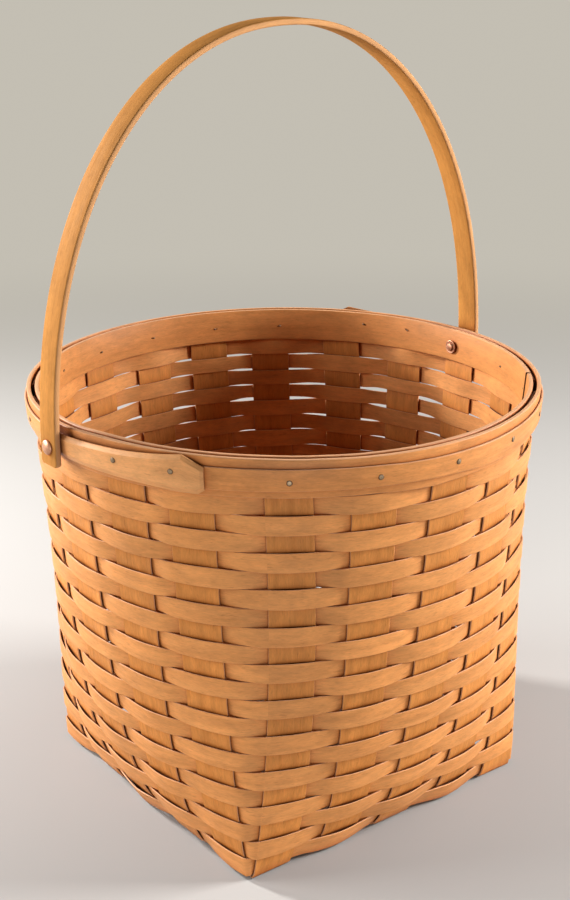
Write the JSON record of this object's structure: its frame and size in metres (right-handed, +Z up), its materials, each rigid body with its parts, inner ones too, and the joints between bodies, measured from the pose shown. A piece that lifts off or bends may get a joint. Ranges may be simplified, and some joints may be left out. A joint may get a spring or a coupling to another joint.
{
  "type": "swing-handle splint basket",
  "caption": "Woven flat-splint basket with a square plaited base that opens to a round rim, and a bent wood handle that swings on rivets.",
  "frame": {"origin": "middle of the basket at the underside of its base, where it stands on a table", "axes": "+Z up, +X through the right-hand handle rivet, -Y the front side of the square base; the handle stands upright across X"},
  "size_m": [0.3248, 0.3086, 0.4623],
  "materials": {
    "maple_splint": "satin",
    "weaver_splint": "satin",
    "rim_maple": "satin",
    "handle_maple": "satin",
    "copper": "aged copper, satin",
    "nail_brass": "aged, satin"
  },
  "bodies": {
    "basket": {"base_strip_x_1": "maple_splint", "base_strip_x_2": "maple_splint", "base_strip_x_3": "maple_splint", "base_strip_x_4": "maple_splint", "base_strip_x_5": "maple_splint", "base_strip_y_1": "maple_splint", "base_strip_y_2": "maple_splint", "base_strip_y_3": "maple_splint", "base_strip_y_4": "maple_splint", "base_strip_y_5": "maple_splint", "weaver_01": "weaver_splint", "weaver_02": "weaver_splint", "weaver_03": "weaver_splint", "weaver_04": "weaver_splint", "weaver_05": "weaver_splint", "weaver_06": "weaver_splint", "weaver_07": "weaver_splint", "weaver_08": "weaver_splint", "weaver_09": "weaver_splint", "weaver_10": "weaver_splint", "weaver_11": "weaver_splint", "weaver_12": "weaver_splint", "weaver_13": "weaver_splint", "weaver_14": "weaver_splint", "weaver_15": "weaver_splint", "weaver_16": "weaver_splint", "weaver_17": "weaver_splint", "weaver_18": "weaver_splint", "weaver_19": "weaver_splint", "weaver_20": "weaver_splint", "weaver_21": "weaver_splint", "rim_band_inner": "rim_maple", "rim_band_outer": "rim_maple", "rim_trim": "rim_maple", "ear_left": "rim_maple", "ear_right": "rim_maple", "rivet_left": "copper", "rivet_right": "copper", "rivet_washer_left": "copper", "rivet_washer_right": "copper", "nail_trim_1": "nail_brass", "nail_trim_2": "nail_brass", "nail_trim_3": "nail_brass", "nail_trim_4": "nail_brass", "nail_trim_5": "nail_brass", "nail_trim_6": "nail_brass", "nail_trim_7": "nail_brass", "nail_trim_8": "nail_brass", "nail_trim_9": "nail_brass", "nail_trim_10": "nail_brass", "nail_trim_11": "nail_brass", "nail_trim_12": "nail_brass", "nail_trim_13": "nail_brass", "nail_trim_14": "nail_brass", "nail_ear_left_1": "nail_brass", "nail_ear_left_2": "nail_brass", "nail_ear_right_1": "nail_brass", "nail_ear_right_2": "nail_brass"},
    "handle": {"handle": "handle_maple"}
  },
  "joints": [
    {"name": "handle_swing", "type": "hinge", "parent": "basket", "child": "handle", "pos_m": [-0.00011, 0.0041, 0.2455], "axis": [0.9997, 0.0262, 0], "range_deg": [-135, 135]}
  ]
}
